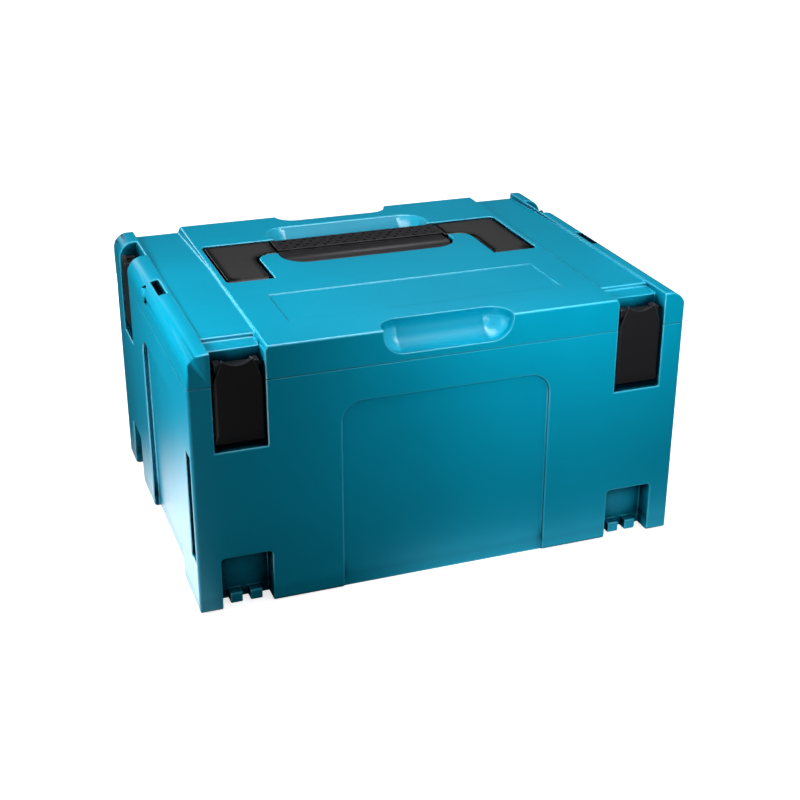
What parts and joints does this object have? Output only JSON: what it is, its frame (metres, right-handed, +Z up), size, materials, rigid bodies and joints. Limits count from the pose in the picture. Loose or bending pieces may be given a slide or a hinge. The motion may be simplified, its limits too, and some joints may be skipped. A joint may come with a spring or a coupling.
{
  "type": "stackable hard tool case",
  "caption": "Hard plastic stackable tool case with a rear-hinged lid, a fold-down top handle and hooked corner latches that also couple a case above.",
  "frame": {"origin": "centre of the case's footprint, on the surface it stands on", "axes": "+X to the right along the front, +Y from front to back, +Z up"},
  "size_m": [0.396, 0.296, 0.21],
  "materials": {
    "base": "fine satin moulded teal",
    "lid": "fine satin moulded teal",
    "hinge_pins": "plain",
    "handle_pins": "satin black",
    "grip": "satin, dimpled on top",
    "handle": "satin black",
    "latch_plates": "satin black",
    "latch_links": "satin black",
    "latch_pins": "plain"
  },
  "bodies": {
    "base": {"base_shell": "base", "hinge_pin_left": "hinge_pins", "hinge_pin_right": "hinge_pins", "latch_anchor_front_left": "latch_pins", "latch_anchor_front_right": "latch_pins", "latch_anchor_side_left": "latch_pins", "latch_anchor_side_right": "latch_pins"},
    "lid": {"lid_shell": "lid"},
    "handle": {"handle_frame": "handle", "handle_grip": "grip", "handle_pin_left": "handle_pins", "handle_pin_right": "handle_pins"},
    "latch_link_front_left": {"latch_link_front_left": "latch_links"},
    "latch_pivot_front_left": {"latch_pivot_front_left": "latch_pins"},
    "latch_plate_front_left": {"latch_plate_front_left": "latch_plates"},
    "latch_link_front_right": {"latch_link_front_right": "latch_links"},
    "latch_pivot_front_right": {"latch_pivot_front_right": "latch_pins"},
    "latch_plate_front_right": {"latch_plate_front_right": "latch_plates"},
    "latch_link_side_left": {"latch_link_side_left": "latch_links"},
    "latch_pivot_side_left": {"latch_pivot_side_left": "latch_pins"},
    "latch_plate_side_left": {"latch_plate_side_left": "latch_plates"},
    "latch_link_side_right": {"latch_link_side_right": "latch_links"},
    "latch_pivot_side_right": {"latch_pivot_side_right": "latch_pins"},
    "latch_plate_side_right": {"latch_plate_side_right": "latch_plates"}
  },
  "joints": [
    {"name": "lid_hinge", "type": "hinge", "parent": "base", "child": "lid", "pos_m": [0, 0.1435, 0.1795], "axis": [-1, 0, 0], "range_deg": [0, 100]},
    {"name": "handle_hinge", "type": "hinge", "parent": "lid", "child": "handle", "pos_m": [0, -0.00325, 0.20375], "axis": [1, 0, 0], "range_deg": [0, 90]},
    {"name": "latch_lift_front_left", "type": "hinge", "parent": "base", "child": "latch_link_front_left", "pos_m": [-0.16025, -0.1375, 0.155], "axis": [1, 0, 0], "range_deg": [-180, 0]},
    {"name": "latch_level_front_left", "type": "hinge", "parent": "latch_link_front_left", "child": "latch_pivot_front_left", "pos_m": [-0.16025, -0.1375, 0.142], "axis": [1, 0, 0], "range_deg": [0, 180]},
    {"name": "latch_swing_front_left", "type": "hinge", "parent": "latch_pivot_front_left", "child": "latch_plate_front_left", "pos_m": [-0.16025, -0.1375, 0.142], "axis": [1, 0, 0], "range_deg": [0, 90]},
    {"name": "latch_lift_front_right", "type": "hinge", "parent": "base", "child": "latch_link_front_right", "pos_m": [0.16025, -0.1375, 0.155], "axis": [1, 0, 0], "range_deg": [-180, 0]},
    {"name": "latch_level_front_right", "type": "hinge", "parent": "latch_link_front_right", "child": "latch_pivot_front_right", "pos_m": [0.16025, -0.1375, 0.142], "axis": [1, 0, 0], "range_deg": [0, 180]},
    {"name": "latch_swing_front_right", "type": "hinge", "parent": "latch_pivot_front_right", "child": "latch_plate_front_right", "pos_m": [0.16025, -0.1375, 0.142], "axis": [1, 0, 0], "range_deg": [0, 90]},
    {"name": "latch_lift_side_left", "type": "hinge", "parent": "base", "child": "latch_link_side_left", "pos_m": [-0.1875, 0.099, 0.155], "axis": [0, -1, 0], "range_deg": [-180, 0]},
    {"name": "latch_level_side_left", "type": "hinge", "parent": "latch_link_side_left", "child": "latch_pivot_side_left", "pos_m": [-0.1875, 0.099, 0.142], "axis": [0, -1, 0], "range_deg": [0, 180]},
    {"name": "latch_swing_side_left", "type": "hinge", "parent": "latch_pivot_side_left", "child": "latch_plate_side_left", "pos_m": [-0.1875, 0.099, 0.142], "axis": [0, -1, 0], "range_deg": [0, 90]},
    {"name": "latch_lift_side_right", "type": "hinge", "parent": "base", "child": "latch_link_side_right", "pos_m": [0.1875, 0.099, 0.155], "axis": [0, 1, 0], "range_deg": [-180, 0]},
    {"name": "latch_level_side_right", "type": "hinge", "parent": "latch_link_side_right", "child": "latch_pivot_side_right", "pos_m": [0.1875, 0.099, 0.142], "axis": [0, 1, 0], "range_deg": [0, 180]},
    {"name": "latch_swing_side_right", "type": "hinge", "parent": "latch_pivot_side_right", "child": "latch_plate_side_right", "pos_m": [0.1875, 0.099, 0.142], "axis": [0, 1, 0], "range_deg": [0, 90]}
  ],
  "couplings": [
    {"joint": "latch_level_front_left", "follows": "latch_lift_front_left", "ratio": -1},
    {"joint": "latch_level_front_right", "follows": "latch_lift_front_right", "ratio": -1},
    {"joint": "latch_level_side_left", "follows": "latch_lift_side_left", "ratio": -1},
    {"joint": "latch_level_side_right", "follows": "latch_lift_side_right", "ratio": -1}
  ]
}
